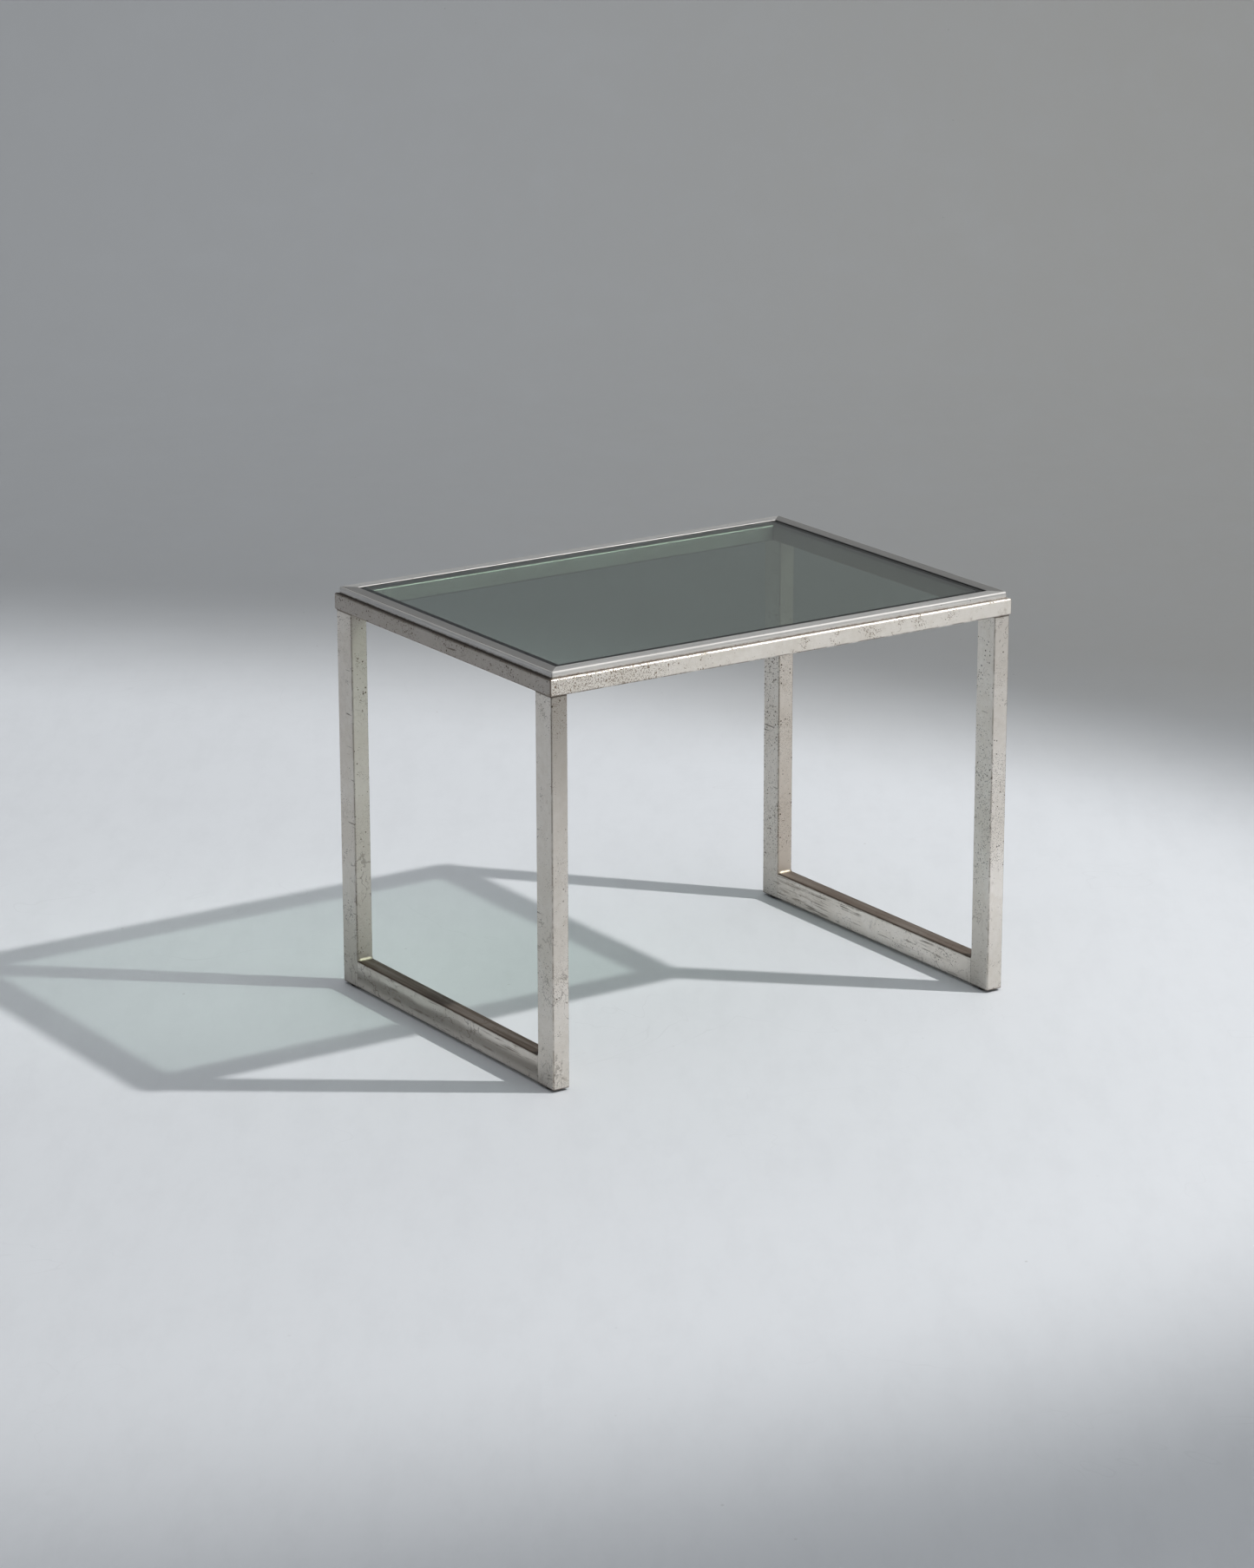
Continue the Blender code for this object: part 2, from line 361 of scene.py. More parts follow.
def plated(name, tint, run, pits=1.0, stain=1.0, lines=1.0, cracks=0.0, rough=0.36, polished=False,
           local=None, dense=None, only_dense=False, pit_colour=PIT, covered_metal=0.25):
    """Aged satin plate. run is the axis the tube runs along: 0, 1 or 2.
    local(n, edge) gives a list of (factor, colour) laid over the plate in turn, dense(n) how thickly the
    pits lie, and cracks how strong the branching cracks are. A polished bar has brighter arrises."""
    n = Nodes(name)
    edge, end = n.edge_and_end()
    colour, cloud, fine, grain = mottled(n, tint, run)

    # brown bloom in a few patches, more of it near the ends
    near_end = n.ramp(end, 0.0, 20 * MM, 1.0, 0.0)
    patch = n.plus(n.noise(70, 5.0, 0.66, 0.5), n.times(near_end, 0.07))
    bloom = n.ramp(patch, 0.62, 0.80, 0.0, 0.65 * stain)
    colour = n.mix(bloom, colour, BLOOM)

    marks = n.times(scratched(n), lines)
    if cracks:
        marks = n.most(marks, n.times(cracked(n, run), cracks))

    # a thin brown line on each arris, and a dark line where a piece ends against the next
    if not polished:
        on_arris = n.ramp(edge, 0.4 * MM, 1.0 * MM, 1.0, 0.0)
        on_arris = n.times(on_arris, n.ramp(n.noise(70, 3.0, 0.6), 0.36, 0.56, 0.15, 0.75))
        colour = n.mix(n.times(on_arris, 0.75 * lines), colour, ARRIS_BROWN)
    joint = n.ramp(end, 0.4 * MM, 1.6 * MM, 0.85, 0.0)
    dark = n.most(pitted(n, pits, dense, only_dense), marks, joint)
    covered = n.most(bloom, dark)
    # the local layers hold grime and painted shade; both also count as cover for gloss and metal
    if local:
        for factor, over in local(n, edge):
            colour = n.mix(factor, colour, over)
            covered = n.most(covered, n.times(factor, 0.8))
    colour = n.mix(n.times(dark, 0.90), colour, pit_colour)

    gloss = n.plus(n.plus(n.times(cloud, 0.16), rough - 0.06), n.times(grain, 0.06))
    if polished:
        gloss = n.minus(gloss, n.ramp(edge, 0.8 * MM, 2.0 * MM, 0.16, 0.0))
    gloss = n.blend(n.times(covered, 0.8), gloss, 0.70)

    relief = n.plus(n.minus(n.times(grain, 0.05), n.times(dark, 0.9)), n.times(fine, 0.15))
    normal = n.bump(relief, 0.10 * MM, 0.6)
    normal = n.bump(n.noise(9, 1.0, 0.4), 1.0 * MM, 0.04 if polished else 0.10, normal)

    shader = n.principled(colour, gloss, normal, n.blend(covered, METALLIC, covered_metal))
    n.put(shader.inputs["Specular IOR Level"], n.blend(covered, 0.5, 0.10))
    return n.material


# ------------------------------------------------------------------ what lies over the plate, and the painted shade on it, piece by piece
def rail_shade_and_foot_line(axis, half, ledge=0.0, bright_arris=False, foot_line=None, inner_shade=0.0):
    """Painted shade on a rail: on its inner face, in the gap beside the trim, on its outer ledge and on its
    top under the glass; and a line along its foot.
    half is how far out the rail's outer face lies along axis, ledge how dark the painted shadow on its outer
    ledge is.
    The foot line is brown and broken, unless foot_line gives a colour for an unbroken one."""
    def local(n, edge):
        up = n.parts(n.facing)[2]
        place = n.parts(n.here)
        depth = n.minus(half, n.absolute(place[axis]))
        outwards = n.times(n.parts(n.facing)[axis], n.math("SIGN", place[axis]))
        # painted shade on the inner face, which is turned away from the key light
        inner_face = n.ramp(outwards, -0.985, -0.93, inner_shade, 0.0)
        low = n.ramp(place[2], RAIL_LOW + 0.6 * MM, RAIL_LOW + 2.2 * MM, 1.0, 0.0)
        if foot_line:
            foot = n.times(low, 0.9775)
        else:
            foot = n.times(low, n.ramp(n.noise(55, 4.0, 0.6), 0.34, 0.56, 0.25, 0.95), 0.85)
        top = n.ramp(up, 0.70, 0.92)
        # painted shade in the gap under the trim, on the outer ledge, and on the top under the glass
        beside_trim = n.times(n.ramp(depth, 2.8 * MM, 3.8 * MM), 0.75)
        under_glass = n.times(n.ramp(depth, 4.0 * MM, 6.0 * MM), 0.92)
        if bright_arris:
            under_glass = n.times(under_glass, top, n.ramp(depth, 27.2 * MM, 28.4 * MM, 1.0, 0.0))
        else:
            under_glass = n.times(under_glass, n.ramp(up, 0.15, 0.45))
        return [
            # all of these layers but the foot line are painted shade
            (inner_face, SHADE_DARK),
            (foot, foot_line or BROWN),
            (n.times(top, n.most(beside_trim, ledge)), SHADE_DARK if ledge else BROWN),
            (under_glass, SHADE_DARK),
        ]
    return local


def leg_shade(low, middle, high, foot=0.0, over=(0.30, 0.275, 0.240)):
    """Painted shade on the faces towards the front and rear, by height, and every face darker near the
    foot."""
    def local(n, edge):
        z = n.parts(n.here)[2]
        across = n.ramp(n.absolute(n.parts(n.facing)[1]), 0.4, 0.8)
        # how dark the painted shade is low down, in the middle and high up
        lower = n.ramp(z, 0.08, 0.24, low, middle)
        upper = n.ramp(z, 0.24, 0.42, middle, high)
        level = n.blend(n.ramp(z, 0.235, 0.245), lower, upper)
        drifting = n.plus(z, n.times(n.noise(18, 3.0, 0.6), 0.06))
        near_foot = n.ramp(drifting, 0.05, 0.16, foot, 0.0)
        return [(n.times(across, level), over), (near_foot, (0.27, 0.255, 0.205))]
    return local


def stretcher_grime_and_shade(reflected_shadow_to, reflected_shadow_strength, dark_top, top_brown, brown_end=0.0):
    """A brown, rubbed top, darker along both arrises, and an outer face with lengthwise streaks, darkened up
    to the first argument's height above the floor by a painted reflection of the shadow on the floor.
    brown_end is how brown that face turns towards the rear leg."""
    def local(n, edge):
        place, way = n.parts(n.here), n.parts(n.facing)
        top = n.ramp(way[2], 0.50, 0.80)
        outside = n.ramp(n.absolute(way[0]), 0.6, 0.9)
        rubbed = n.ramp(n.grain(1, 160, 9, 4.0, 0.6), 0.36, 0.66, dark_top, dark_top - 0.12)
        along_arris = n.ramp(edge, 1.0 * MM, 2.8 * MM, 1.0, 0.0)
        drifting = n.plus(place[2], n.times(n.noise(1.0, 4.0, 0.6, vector=n.stretch((30, 12, 60))), 0.014))
        # painted reflection of the shadow on the floor: dark low on the outer face, a little lighter at the
        # very bottom
        reflected_shadow = n.ramp(drifting, reflected_shadow_to, reflected_shadow_to + 9 * MM, reflected_shadow_strength, 0.0)
        reflected_shadow = n.times(reflected_shadow, n.ramp(place[2], 6 * MM, 15 * MM, 0.20, 1.0))
        rear_end = n.ramp(n.plus(place[1], n.times(n.noise(22, 4.0, 0.6), 0.10)), 0.10, 0.24)
        browned = n.times(rear_end, n.ramp(n.grain(1, 420, 26, 4.0, 0.65), 0.46, 0.66, 0.10, 1.0), brown_end)
        streaks = n.ramp(n.grain(1, 330, 13, 3.0, 0.6), 0.54, 0.66, 0.0, 0.75)
        streaks = n.times(streaks, n.ramp(n.noise(26, 3.0, 0.6), 0.40, 0.56))
        return [
            (n.times(outside, browned), (0.25, 0.185, 0.130)),
            (n.times(outside, streaks), (0.20, 0.165, 0.130)),
            (n.times(outside, reflected_shadow), (0.17, 0.145, 0.118)),
            (n.times(top, rubbed), top_brown),
            (n.times(top, along_arris, 0.75), (0.060, 0.042, 0.032)),
        ]
    return local


def thick_on_the_left(n):
    """Pits crowd the front rail towards its left end."""
    along = n.plus(n.parts(n.here)[0], n.times(n.noise(20, 3.0, 0.6), 0.10))
    return n.ramp(along, -0.16, 0.05, 0.95, 0.10)


def scattered(n):
    return n.ramp(n.noise(12, 3.0, 0.6), 0.40, 0.62, 0.30, 0.85)


def evenly_thick(n):
    return n.ramp(n.noise(24, 3.0, 0.6), 0.35, 0.60, 0.45, 1.0)


# ------------------------------------------------------------------ the other materials
TRIM_TINT = (0.740, 0.730, 0.710)


def brushed_bar(name, tint, run, half, top_shade=None):
    """The trim bars: fine lengthwise brushing, few pits, dirt in the mitres, painted shade down the side
    beside the glass, and brown specks along the foot of the outer face. half is how far out that face lies.
    Given a top colour, the top takes it as painted shade, and a thin dark line of painted shade parts it from
    the outer face."""
    n = Nodes(name)
    end = n.edge_and_end()[1]
    place = n.parts(n.here)
    depth = n.minus(half, n.absolute(place[1 - run]))

    fine = n.grain(run, 1500, 7, 4.0, 0.65)
    coarse = n.grain(run, 420, 3, 3.0, 0.6, (3, 5, 7))
    streak = n.plus(n.times(fine, 0.55), n.times(coarse, 0.45))
    deep = shade(tint, 0.72)
    light = tuple(min(1.0, c * 1.08) for c in tint)
    colour = n.mix(n.ramp(streak, 0.36, 0.64), deep, light)
    colour = n.mix(n.times(n.ramp(n.noise(30, 4.0, 0.6), 0.45, 0.72), 0.25), colour, deep)

    dirt = n.ramp(end, 0.1 * MM, 0.7 * MM, 0.7, 0.0)
    dirt = n.times(dirt, n.ramp(n.noise(160, 3.0, 0.6), 0.36, 0.6))
    dark = n.most(dirt, n.dots(260, 0, 9.0, 0.20, 0.03, 0.08))
    # painted shade: a darker top, and a dark line on the shoulder
    if top_shade:
        colour = n.mix(n.ramp(depth, 1.6 * MM, 2.1 * MM), colour, top_shade)
        parting = n.line(depth, 1.9 * MM, 0.2 * MM, 0.6 * MM)
        parting = n.times(parting, n.ramp(n.noise(46, 3.0, 0.6), 0.34, 0.54, 0.30, 0.90))
        dark = n.most(dark, parting)
    specks = n.plus(place[2], n.times(n.noise(240, 4.0, 0.7), 4 * MM))
    specks = n.ramp(specks, TRIM_LOW + 2.0 * MM, TRIM_LOW + 3.4 * MM, 0.75, 0.0)
    # painted shade, near black, on the side beside the glass below its top arris
    below_top = n.ramp(place[2], TRIM_HIGH - 1.0 * MM, TRIM_HIGH - 0.6 * MM, 1.0, 0.0)
    inner = n.times(n.ramp(depth, 14.3 * MM, 14.8 * MM), below_top)
    colour = n.mix(specks, colour, (0.25, 0.19, 0.14))
    colour = n.mix(n.times(dark, 0.85), colour, (0.07, 0.055, 0.04))
    colour = n.mix(inner, colour, (0.020, 0.018, 0.017))
    dark = n.most(dark, inner)

    gloss = n.plus(n.times(streak, 0.16), 0.40)
    gloss = n.plus(gloss, n.ramp(depth, 2.2 * MM, 3.4 * MM, 0.20, 0.0))
    gloss = n.blend(dark, gloss, 0.75)
    normal = n.bump(n.minus(n.times(streak, 0.8), dark), 0.06 * MM, 0.7)
    n.principled(colour, gloss, normal, n.blend(dark, 0.80, 0.2))
    return n.material


def float_glass(name, tint, shadow, ior=1.52):
    """Grey-green float glass, faintly smeared and dusty. Lamps shine through it with the tint shadow."""
    n = Nodes(name)
    smear = n.noise(9, 4.0, 0.6, 0.7, n.stretch((1, 3.2, 1)))
    normal = n.bump(n.noise(4, 1.0, 0.4), 0.4 * MM, 0.02)
    shader = n.principled(tint, n.ramp(smear, 0.45, 0.80, 0.0, 0.010), normal)
    shader.inputs["IOR"].default_value = ior
    shader.inputs["Transmission Weight"].default_value = 1.0
    clear = n.add("ShaderNodeBsdfTransparent")
    n.put_colour(clear.inputs[0], shadow)
    both = n.add("ShaderNodeMixShader")
    n.put(both.inputs[0], n.add("ShaderNodeLightPath").outputs["Is Shadow Ray"])
    n.put(both.inputs[1], shader.outputs[0])
    n.put(both.inputs[2], clear.outputs[0])
    n.put(n.out.inputs["Surface"], both.outputs[0])
    return n.material


def glass_rim(name):
    """The ground edge of the pane: its own dark green, darkened to near black as painted shade, with dust in
    it.
    """
    n = Nodes(name)
    dust = n.noise(220, 4.0, 0.6)
    colour = n.mix(n.ramp(dust, 0.4, 0.7), (0.006, 0.014, 0.012), (0.022, 0.034, 0.030))
    n.principled(colour, n.ramp(dust, 0.3, 0.7, 0.25, 0.5))
    return n.material


def rubber(name):
    """Black rubber, scuffed grey in places."""
    n = Nodes(name)
    grain = n.noise(900, 3.0, 0.6)
    scuff = n.ramp(n.noise(160, 4.0, 0.6), 0.5, 0.75)
    colour = n.mix(scuff, (0.012, 0.012, 0.012), (0.06, 0.055, 0.05))
    n.principled(colour, n.ramp(grain, 0.3, 0.7, 0.6, 0.85), n.bump(grain, 0.1 * MM, 0.5))
    return n.material


def mill_steel(name):
    """Bare steel with mill scale and some rust."""
    n = Nodes(name)
    scale = n.noise(140, 5.0, 0.65)
    rust = n.ramp(n.noise(60, 5.0, 0.65), 0.48, 0.66)
    colour = n.mix(n.ramp(scale, 0.35, 0.65), (0.10, 0.095, 0.09), (0.24, 0.23, 0.22))
    colour = n.mix(rust, colour, (0.17, 0.075, 0.035))
    n.principled(colour, n.blend(rust, 0.5, 0.85), n.bump(scale, 0.2 * MM, 0.5), n.blend(rust, 0.9, 0.1))
    return n.material


# ------------------------------------------------------------------ geometry helpers
def section(width, height, radii, steps=5):
    """A closed outline of a rectangle with rounded corners, anticlockwise from the lower left.
    radii are those of the corners (-,-), (+,-), (+,+), (-,+). Gives (a, b, distance to the nearest arris)."""
    w, h = width / 2, height / 2
    corners = [(-w, -h, 2 * QUARTER), (w, -h, 3 * QUARTER), (w, h, 0.0), (-w, h, QUARTER)]
    points = []
    for i, ((x, y, start), r) in enumerate(zip(corners, radii)):
        cx, cy = x - math.copysign(r, x), y - math.copysign(r, y)
        for k in range(steps + 1):
            turn = start + QUARTER * k / steps
            away = abs(k / steps - 0.5) * r * QUARTER
            points.append((cx + r * math.cos(turn), cy + r * math.sin(turn), away))
        next_x, next_y, _ = corners[(i + 1) % 4]
        next_r = radii[(i + 1) % 4]
        level = i % 2 == 0
        this, other = (x, next_x) if level else (y, next_y)
        a0, a1 = this - math.copysign(r, this), other - math.copysign(next_r, other)
        # Points close to each corner keep the smooth shading off the flat.
        beside = 0.12 * MM / abs(a1 - a0)
        for t in (beside, 1 / 3, 2 / 3, 1 - beside):
            a = a0 + (a1 - a0) * t
            away = min(abs(a - a0) + r * QUARTER / 2, abs(a1 - a) + next_r * QUARTER / 2)
            points.append((a, y, away) if level else (x, a, away))
    return points


def finish_mesh(name, bm, materials, sharp_from=SMOOTH_BELOW):
    """An object from a bmesh, shaded smooth below the angle sharp_from, or all over if that is None."""
    mesh = bpy.data.meshes.new(name)
    bm.to_mesh(mesh)
    bm.free()
    mesh.shade_smooth()
    if sharp_from is not None:
        mesh.set_sharp_from_angle(angle=sharp_from)
    for material in materials:
        mesh.materials.append(material)
    return add_to_scene(name, mesh)


def skin(name, rings, material, bore=None):
    """A surface over rings of points, each of them (place, distance to the arris, distance to the end).
    bore is a second list of rings inside the first, joined to it at both ends. Without it both are closed."""
    bm = bmesh.new()
    girth = bm.loops.layers.uv.new("along_girth")
    worn = bm.loops.layers.uv.new(EDGE_LAYER)

    def lay(rows):
        return [[bm.verts.new(point[0]) for point in row] for row in rows]

    def face(verts, values, flip):
        if flip:
            verts, values = verts[::-1], values[::-1]
        made = bm.faces.new(verts)
        for loop, (along, around, edge, end) in zip(made.loops, values):
            loop[girth].uv = (along, around)
            loop[worn].uv = (edge, end)

    def sides(rows, made, flip):
        first = [Vector(point[0]) for point in rows[0]]
        around = [0.0]
        for a, b in zip(first, first[1:] + first[:1]):
            around.append(around[-1] + (b - a).length)
        along = 0.0
        for j, (row, after) in enumerate(zip(rows, rows[1:])):
            step = (Vector(after[0][0]) - Vector(row[0][0])).length
            for i in range(len(row)):
                k = (i + 1) % len(row)
                values = [
                    (along, around[i], *row[i][1:]),
                    (along, around[i + 1], *row[k][1:]),
                    (along + step, around[i + 1], *after[k][1:]),
                    (along + step, around[i], *after[i][1:]),
                ]
                face([made[j][i], made[j][k], made[j + 1][k], made[j + 1][i]], values, flip)
            along += step

    outer = lay(rings)
    sides(rings, outer, False)
    if bore:
        inner = lay(bore)
        sides(bore, inner, True)
    count = len(rings[0])
    for at, flip in ((0, True), (-1, False)):
        if bore:
            for i in range(count):
                k = (i + 1) % count
                face([outer[at][i], outer[at][k], inner[at][k], inner[at][i]], [END_FACE] * 4, flip)
        else:
            face(outer[at], [END_FACE] * count, flip)
    bmesh.ops.recalc_face_normals(bm, faces=bm.faces)
    return finish_mesh(name, bm, [material])


def place_piece(piece, node, body="frame"):
    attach(piece, body)
    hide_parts(node)


# ------------------------------------------------------------------ the pieces
def stretcher_top(corner):
    """How high the top of the stretcher lies that meets the leg at this corner."""
    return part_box("stretcher_" + corner.split("_")[1])[1].z


def leg_levels(bottom, top, bar_top):
    """The heights of a leg's rings: close together at its foot and beside the weld, and even above."""
    levels = [bottom, bottom + 0.25 * MM, bottom + 0.7 * MM]
    levels += [bottom + t * (bar_top - bottom) for t in (0.3, 0.7, 0.93)]
    levels += [bar_top + k * MM for k in (0.6, 1.5, 2.6, 4.0)]
    start, steps = levels[-1], 16
    return levels + [start + (top - start) * k / steps for k in range(1, steps + 1)]


def make_leg(corner, sy, material):
    """A hollow leg. Its foot is eased, and beside the stretcher its inner arrises are ground flush with
    the weld."""
    low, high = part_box("leg_" + corner)
    cx, cy = (low.x + high.x) / 2, (low.y + high.y) / 2
    w, d = high.x - low.x, high.y - low.y
    bottom, top, bar_top = low.z, RAIL_LOW, stretcher_top(corner)
    hole = section(w - 2 * TUBE_WALL, d - 2 * TUBE_WALL, (BORE_ARRIS,) * 4)
    rings, bore = [], []
    for z in leg_levels(bottom, top, bar_top):
        inner = TUBE_ARRIS * min(1.0, max(0.03, (z - bar_top + 0.3 * MM) / (2.5 * MM)))
        radii = (TUBE_ARRIS, TUBE_ARRIS, inner, inner) if sy < 0 else (inner, inner, TUBE_ARRIS, TUBE_ARRIS)
        ease = 0.35 * MM * max(0.0, 1 - (z - bottom) / (0.7 * MM)) ** 2
        end = min(top - z, z - bottom, abs(z - bar_top) + 8 * MM)
        outline = section(w - 2 * ease, d - 2 * ease, radii)
        rings.append([((cx + a, cy + b, z), edge, end) for a, b, edge in outline])
        bore.append([((cx + a, cy + b, z), FAR, end) for a, b, _ in hole])
    leg = skin("visual_leg_" + corner, rings, material, bore)
    place_piece(leg, "leg_" + corner)


def make_stretcher(side, material):
    """A bar on edge, from the front leg to the rear one."""
    low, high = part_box("stretcher_" + side)
    start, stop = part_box("leg_front_" + side)[1].y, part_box("leg_rear_" + side)[0].y
    cx, cz = (low.x + high.x) / 2, (low.z + high.z) / 2
    outline = section(high.x - low.x, high.z - low.z, (TUBE_ARRIS,) * 4)
    rings, steps = [], 14
    for k in range(steps + 1):
        y = start + (stop - start) * k / steps
        end = min(y - start, stop - y) + 4 * MM
        rings.append([((cx - a, y, cz + b), edge, end) for a, b, edge in outline])
    bar = skin("visual_stretcher_" + side, rings, material)
    place_piece(bar, "stretcher_" + side)


# A ring of four mitred bars. radii are the section's: outer bottom, inner bottom, inner top, outer top.
Ring = namedtuple("Ring", "kind slot low high half_x half_y radii gap")
RAILS = Ring("rail", "plated_tube", RAIL_LOW, RAIL_HIGH, OUT_X, OUT_Y, RAIL_RADII, 0.0)
TRIMS = Ring("trim", "trim_bar", RAIL_HIGH + TRIM_LIFT, TRIM_HIGH, TRIM_OUT_X, TRIM_OUT_Y, TRIM_RADII,
             TRIM_MITRE_GAP)


def on_the_run(t, share, reach):
    """Where a point at depth t lies along a bar, share of the way along its straight part, and how far it
    is from the mitre."""
    start = max(RING_CORNER, t) + RING_CORNER
    along = -reach + start + 2 * (reach - start) * share
    return along, reach - abs(along) - t


def round_the_corner(t, share):
    """Where a point at depth t lies, share of the way from the straight part to the mitre: how far in from
    the ring's end, and how deep."""
    if t >= RING_CORNER:
        return t + RING_CORNER * (1 - share), t
    turn = QUARTER / 2 * share
    left = RING_CORNER - t
    return RING_CORNER - left * math.sin(turn), RING_CORNER - left * math.cos(turn)


def make_ring_bar(ring, name, side, along_x, material):
    """One mitred bar of a ring, whose outside corners are rounded in plan."""
    node = ring.kind + "_" + name
    front_low, front_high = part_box(ring.kind + "_front")
    width = front_high.y - front_low.y
    reach, offset = (ring.half_x, ring.half_y) if along_x else (ring.half_y, ring.half_x)
    mid = (ring.low + ring.high) / 2
    outline = section(width, ring.high - ring.low, ring.radii, steps=6)
    straight, arc = 12, 6
    stations = [(-1, 1 - k / arc) for k in range(arc + 1)]
    stations += [(0, k / straight) for k in range(1, straight)]
    stations += [(1, k / arc) for k in range(arc + 1)]
    rings = []
    for sign, share in stations:
        row = []
        for a, b, edge in outline:
            t = a + width / 2                       # depth in from the outer face
            if sign == 0:
                depth = t
                along, end = on_the_run(t, share, reach)
            else:
                inward, depth = round_the_corner(t, share)
                along, end = sign * (reach - inward - ring.gap), inward - depth
            out = side * (offset - depth)
            place = (along, out, mid + b) if along_x else (out, along, mid + b)
            row.append((place, edge, max(0.0, end)))
        rings.append(row)
    bar = skin("visual_" + node, rings, material)
    place_piece(bar, node)


def make_weld(corner, sx, sy, material):
    """A hand-laid fillet in the corner of leg and stretcher: a concave bead with slow ripples."""
    low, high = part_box("weld_" + corner)
    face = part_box("leg_" + corner)[1 if sy < 0 else 0].y
    bar_top = stretcher_top(corner)
    into = -sy
    length = high.x - low.x + 1.2 * MM
    start = (low.x + high.x) / 2 - length / 2
    steps, round_steps = 28, 8
    rings = []
    for k in range(steps + 1):
        t = k / steps
        x = start + length * t
        fade = math.sin(QUARTER * min(1.0, 6 * min(t, 1 - t))) ** 0.6
        ripple = 1 + 0.07 * math.sin(14 * math.pi * t + 1.3 * sx + 0.7 * sy) + 0.04 * math.sin(17 * t + sy)
        size = WELD_LEG * max(0.25, fade) * ripple
        ring = [((x, face - into * WELD_SINK, bar_top - WELD_SINK), BEAD_WEAR, 0.0)]
        for i in range(round_steps + 1):
            turn = QUARTER * i / round_steps
            u = size * (1 - math.sin(turn)) - (WELD_SINK if i == round_steps else 0)
            v = size * (1 - math.cos(turn)) - (WELD_SINK if i == 0 else 0)
            ring.append(((x, face + into * u, bar_top + v), BEAD_WEAR, BEAD_WEAR))
        rings.append(ring if into > 0 else ring[::-1])
    bead = skin("visual_weld_" + corner, rings, material)
    place_piece(bead, "weld_" + corner)


def make_foot(corner, material):
    """A turned pad with a soft lower rim and a shallow dished underside."""
    low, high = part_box("foot_" + corner)
    cx, cy = (low.x + high.x) / 2, (low.y + high.y) / 2
    r, h = (high.x - low.x) / 2, high.z
    dish, lip = 0.35 * MM, 0.7 * MM
    outline = [(0.0, dish), (r * 0.55, dish), (r * 0.62, 0.0), (r - lip, 0.0)]
    outline += [(r - lip + lip * math.sin(a), lip - lip * math.cos(a)) for a in (0.5, 1.0, QUARTER)]
    outline += [(r, h - 0.35 * MM), (r - 0.12 * MM, h - 0.1 * MM), (r - 0.4 * MM, h), (0.0, h)]
    bm = bmesh.new()
    verts = [bm.verts.new((cx + x, cy, z)) for x, z in outline]
    edges = [bm.edges.new(pair) for pair in zip(verts, verts[1:])]
    bmesh.ops.spin(bm, geom=verts + edges, cent=(cx, cy, 0), axis=(0, 0, 1), angle=2 * math.pi, steps=56)
    bmesh.ops.remove_doubles(bm, verts=bm.verts, dist=1e-6)
    bmesh.ops.recalc_face_normals(bm, faces=bm.faces)
    pad = finish_mesh("visual_foot_" + corner, bm, [material])
    place_piece(pad, "foot_" + corner)


def make_glass(glass, rim, shade_band):
    """The pane, with ground and polished arrises and slightly eased corners. Along three sides of its upper
    face it has a material of its own, a near-black band of painted shade."""
    def rise(edge):
        return abs(edge.verts[0].co.z - edge.verts[1].co.z)

    def is_rim(edge):
        faces = edge.link_faces
        return rise(edge) < 1e-6 and len(faces) == 2 and abs(faces[0].normal.z - faces[1].normal.z) > 0.5

    low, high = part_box("glass_pane")
    bm = bmesh.new()
    bmesh.ops.create_cube(bm, size=1.0)
    bmesh.ops.scale(bm, vec=high - low, verts=bm.verts)
    bmesh.ops.translate(bm, vec=(low + high) / 2, verts=bm.verts)
    upright = [e for e in bm.edges if rise(e) > 1e-4]
    bmesh.ops.bevel(bm, geom=upright, offset=PANE_CORNER, segments=6, profile=0.5, affect="EDGES")
    rims = [e for e in bm.edges if is_rim(e)]
    bmesh.ops.bevel(bm, geom=rims, offset=PANE_ARRIS, segments=2, profile=0.5, affect="EDGES")
    # the band of painted shade lies along the left, right and front sides
    left, right, front = low.x + SHADE_BORDER, high.x - SHADE_BORDER, low.y + SHADE_BORDER
    for place, way in (((left, 0, 0), (1, 0, 0)), ((right, 0, 0), (1, 0, 0)), ((0, front, 0), (0, 1, 0))):
        everything = bm.verts[:] + bm.edges[:] + bm.faces[:]
        bmesh.ops.bisect_plane(bm, geom=everything, plane_co=place, plane_no=way, dist=1e-7)
    pane = finish_mesh("visual_glass_pane", bm, [glass, rim, shade_band], math.radians(12))
    for polygon in pane.data.polygons:
        at = polygon.center
        if abs(polygon.normal.z) < 0.95:
            polygon.material_index = 1
        elif at.z > high.z - 0.1 * MM and (at.y < front or at.x < left or at.x > right):
            polygon.material_index = 2
    place_piece(pane, "glass_pane", "glass")


# ------------------------------------------------------------------ the object
SIDES_X = (("left", -1), ("right", 1))
SIDES_Y = (("front", -1), ("rear", 1))


def leg_plates():
    """Each leg has its own tint, pits, stain and cracks, and its own painted shade."""
    looks = {
        "front_left": ((0.755, 0.715, 0.665), 1.15, 1.0, 0.50, leg_shade(0.0, 0.14, 0.78)),
        "rear_left": (NICKEL, 1.2, 1.0, 0.60, leg_shade(0.36, 0.36, 0.62, 0.30)),
        "front_right": ((0.85, 0.81, 0.76), 1.15, 1.0, 0.45, leg_shade(0.0, 0.0, 0.34, 0.26)),
        "rear_right": (NICKEL, 1.3, 1.4, 0.40, leg_shade(0.42, 0.20, 0.15, 0.0, (0.345, 0.265, 0.200))),
    }
    return {
        corner: plated("plate_leg_" + corner, tint, 2, pits=pits, stain=stain, cracks=cracks,
                       dense=scattered, local=shading)
        for corner, (tint, pits, stain, cracks, shading) in looks.items()
    }


